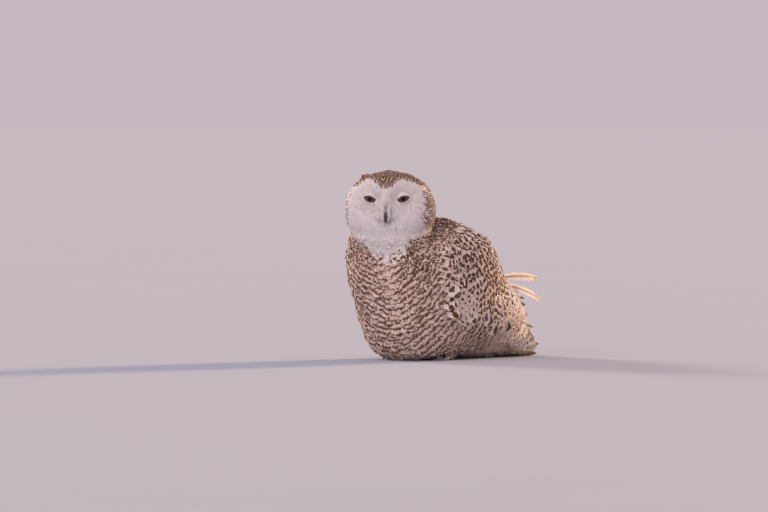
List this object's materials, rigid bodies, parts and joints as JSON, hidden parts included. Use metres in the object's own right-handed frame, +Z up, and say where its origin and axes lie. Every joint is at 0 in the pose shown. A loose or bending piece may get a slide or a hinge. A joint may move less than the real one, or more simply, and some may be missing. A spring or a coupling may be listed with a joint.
{
  "type": "snowy owl",
  "caption": "Life-size still snowy owl sitting low on the ground with its wings folded and its head turned to its left.",
  "frame": {"origin": "on the floor, under the middle of the owl's bounding box", "axes": "+Z up; the body faces -Y and its left side is at +X; the head is turned 30 degrees to its left"},
  "size_m": [0.2654, 0.5132, 0.3534],
  "materials": {
    "white_plumage": "soft matt feathers",
    "barred_plumage": "white feathers with brown bars, matt",
    "spotted_plumage": "white feathers with dark brown spots, matt",
    "black_horn": "smooth dark horn",
    "yellow_eye": "wet and glossy"
  },
  "bodies": {
    "root": {"head": "white_plumage", "neck": "barred_plumage", "trunk": "barred_plumage", "tail": "spotted_plumage", "wing_left": "spotted_plumage", "primaries_left": "spotted_plumage", "leg_left": "white_plumage", "foot_left": "white_plumage", "claw_left_inner": "black_horn", "claw_left_middle": "black_horn", "claw_left_outer": "black_horn", "claw_left_hind": "black_horn", "eye_left": "yellow_eye", "wing_right": "spotted_plumage", "primaries_right": "spotted_plumage", "leg_right": "white_plumage", "foot_right": "white_plumage", "claw_right_inner": "black_horn", "claw_right_middle": "black_horn", "claw_right_outer": "black_horn", "claw_right_hind": "black_horn", "eye_right": "yellow_eye", "bill": "black_horn", "raised_feather_upper": "spotted_plumage", "raised_feather_lower": "spotted_plumage"}
  },
  "joints": []
}
